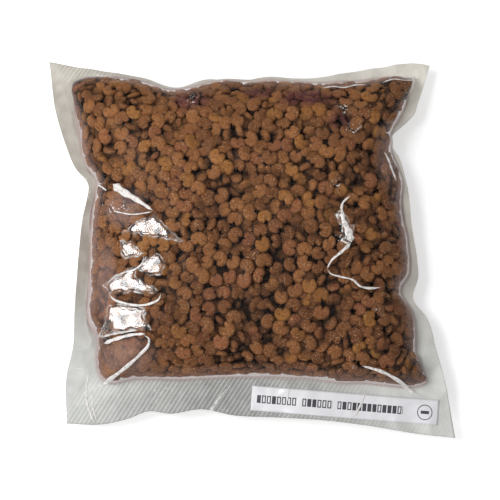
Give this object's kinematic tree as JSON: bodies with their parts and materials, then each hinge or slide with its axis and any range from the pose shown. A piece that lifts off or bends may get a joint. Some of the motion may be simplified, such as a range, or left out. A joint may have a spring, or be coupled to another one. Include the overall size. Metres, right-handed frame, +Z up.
{
  "type": "pet food bag",
  "caption": "Clear vacuum pouch filled with kidney-shaped dry kibble, lying flat, with wide welded borders, a ribbed back film and a paper label strip.",
  "frame": {"origin": "on the surface the bag lies on, below the middle of its outline", "axes": "+Z up through the bag's thickness, +X to the right along its wider side, +Y to its top edge"},
  "size_m": [0.2933, 0.274, 0.062],
  "materials": {
    "clear_film": "clear glossy film",
    "ribbed_film": "clear film with pressed diagonal ribs",
    "kibble": "dry baked, matt and pitted",
    "label_paper": "smooth white paper"
  },
  "bodies": {
    "root": {"front_film": "clear_film", "back_film": "ribbed_film", "kibble_fill": "kibble", "label": "label_paper"}
  },
  "joints": []
}
